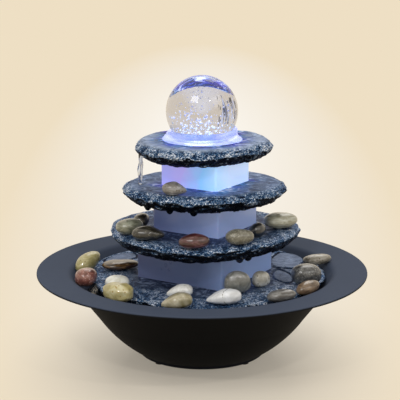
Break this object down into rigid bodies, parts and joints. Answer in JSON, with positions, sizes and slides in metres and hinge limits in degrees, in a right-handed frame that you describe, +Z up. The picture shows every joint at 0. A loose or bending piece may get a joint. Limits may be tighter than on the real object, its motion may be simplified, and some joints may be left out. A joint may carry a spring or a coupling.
{
  "type": "tabletop water fountain",
  "caption": "Tabletop fountain: flanged bowl with a hidden pump, slate steps on frosted lit blocks, pebbles, and a glass ball turning on a water seat at the top.",
  "frame": {"origin": "on the table under the centre of the ball, at the bottom of the rubber feet", "axes": "+Z up, -Y towards the front, +X to the viewer's right, cord outlet towards +Y"},
  "size_m": [0.28, 0.28, 0.2379],
  "materials": {
    "charcoal_resin": "matt charcoal cast resin",
    "black_rubber": "moulded black rubber",
    "black_plastic": "moulded black plastic",
    "pump_plastic": "moulded black pump housing",
    "filter_sponge": "open-cell foam",
    "impeller_plastic": "moulded blue plastic",
    "ferrite": "dark sintered magnet",
    "white_ceramic": "ground white ceramic",
    "slider_plastic": "moulded grey plastic",
    "black_lead": "black cable sheath",
    "slate": "wet split slate with chipped edges",
    "frosted_acrylic": "frosted translucent block, lit from inside",
    "clear_vinyl": "clear flexible hose",
    "clear_acrylic": "clear moulded seat",
    "white_acrylic": "white translucent housing",
    "board": "white solder mask",
    "lamp_dome": "clear lamp dome",
    "crystal": "clear cast glass with bubbles",
    "water": "clear water",
    "pebble_tan": "polished tan pebble",
    "pebble_sage": "polished grey-green pebble",
    "pebble_brown": "polished brown pebble",
    "pebble_olive": "polished olive pebble",
    "pebble_red": "polished dark red pebble",
    "pebble_black": "polished dark grey pebble",
    "pebble_yellow": "polished yellow pebble",
    "pebble_rose": "polished rose pebble",
    "pebble_rust": "polished rust pebble",
    "pebble_cream": "polished cream pebble",
    "pebble_white": "polished white pebble"
  },
  "bodies": {
    "base": {"bowl": "charcoal_resin", "rubber_feet": "black_rubber", "cable_gland": "black_plastic", "gland_washer": "black_rubber", "gland_nut": "black_plastic", "pump_stand": "black_plastic", "pump_body": "pump_plastic", "volute_plate": "pump_plastic", "intake_cover": "pump_plastic", "intake_sponge": "filter_sponge", "pump_seal": "black_rubber", "impeller_shaft": "white_ceramic", "shaft_bushes": "white_ceramic", "suction_cups": "black_rubber", "pump_nozzle": "pump_plastic", "lamp_socket": "pump_plastic", "pump_lead": "black_lead"},
    "tower": {"step_1": "slate", "step_2": "slate", "step_3": "slate", "step_4": "slate", "block_1": "frosted_acrylic", "block_2": "frosted_acrylic", "block_3": "frosted_acrylic", "hose": "clear_vinyl", "ball_seat": "clear_acrylic", "lamp_case": "white_acrylic", "lamp_board": "board", "lamps": "lamp_dome", "lamp_cap": "white_acrylic", "lamp_lead": "black_lead", "lamp_plug": "black_plastic", "rear_pebbles": "pebble_tan", "pebble_1": "pebble_tan", "pebble_2": "pebble_sage", "pebble_3": "pebble_brown", "pebble_4": "pebble_olive", "pebble_5": "pebble_red", "pebble_6": "pebble_tan", "pebble_7": "pebble_black", "pebble_8": "pebble_sage", "pebble_9": "pebble_yellow", "pebble_10": "pebble_rose", "pebble_11": "pebble_rust", "pebble_12": "pebble_cream", "pebble_13": "pebble_yellow", "pebble_14": "pebble_cream", "pebble_15": "pebble_cream", "pebble_16": "pebble_white", "pebble_17": "pebble_olive", "pebble_18": "pebble_sage", "pebble_19": "pebble_tan", "pebble_20": "pebble_black", "pebble_21": "pebble_rust", "pebble_22": "pebble_brown"},
    "ball": {"glass_ball": "crystal"},
    "rotor": {"impeller": "impeller_plastic", "rotor_magnet": "ferrite"},
    "slider": {"flow_slider": "slider_plastic"}
  },
  "joints": [
    {"name": "tower_lift", "type": "slide", "parent": "base", "child": "tower", "axis": [0, 0, 1], "range_m": [0, 0.07]},
    {"name": "ball_spin", "type": "hinge", "parent": "tower", "child": "ball", "pos_m": [0, 0, 0.2079], "axis": [0, 0, 1], "continuous": true},
    {"name": "impeller_spin", "type": "hinge", "parent": "base", "child": "rotor", "pos_m": [0, 0, 0.029], "axis": [0, 1, 0], "continuous": true},
    {"name": "flow_slide", "type": "slide", "parent": "base", "child": "slider", "axis": [1, 0, 0], "range_m": [-0.008, 0.008]}
  ]
}
